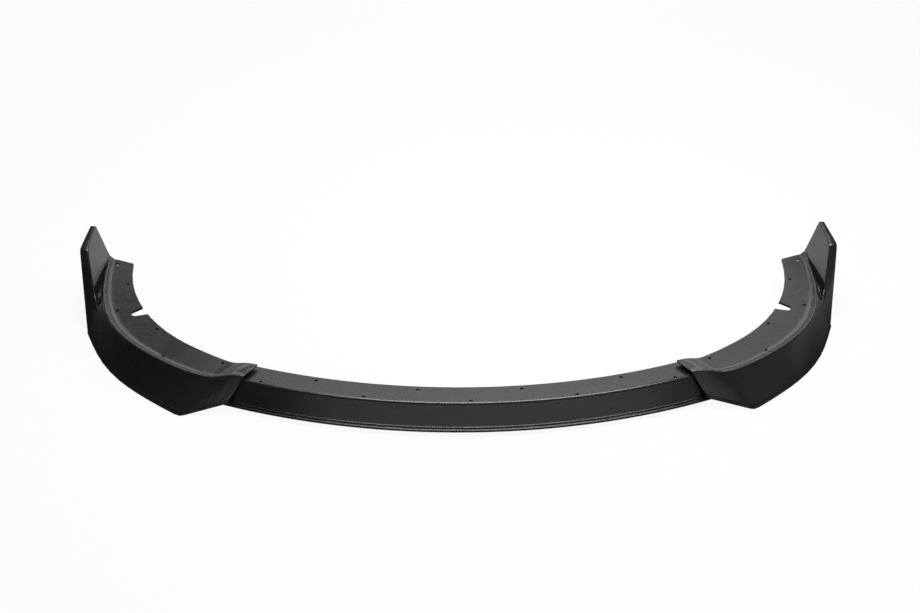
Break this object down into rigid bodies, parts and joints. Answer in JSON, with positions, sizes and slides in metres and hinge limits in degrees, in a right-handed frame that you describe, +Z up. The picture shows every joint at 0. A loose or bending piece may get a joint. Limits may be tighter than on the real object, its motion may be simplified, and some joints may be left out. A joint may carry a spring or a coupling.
{
  "type": "front splitter lip",
  "caption": "Bowed car front splitter lip: thin-walled centre section and two lapped corners, each rising into a winglet fin, with screw holes along the flange.",
  "frame": {"origin": "bottom centre of the whole lip: on the floor, in the plane of symmetry, midway between its front and rear ends", "axes": "+X to the right as seen from the front, -Y to the front of the car, +Z up"},
  "size_m": [1.7024, 0.558, 0.1685],
  "materials": {
    "black_moulding": "satin black with a fine moulded grain"
  },
  "bodies": {
    "root": {"centre_section": "black_moulding", "left_corner": "black_moulding", "right_corner": "black_moulding"}
  },
  "joints": []
}
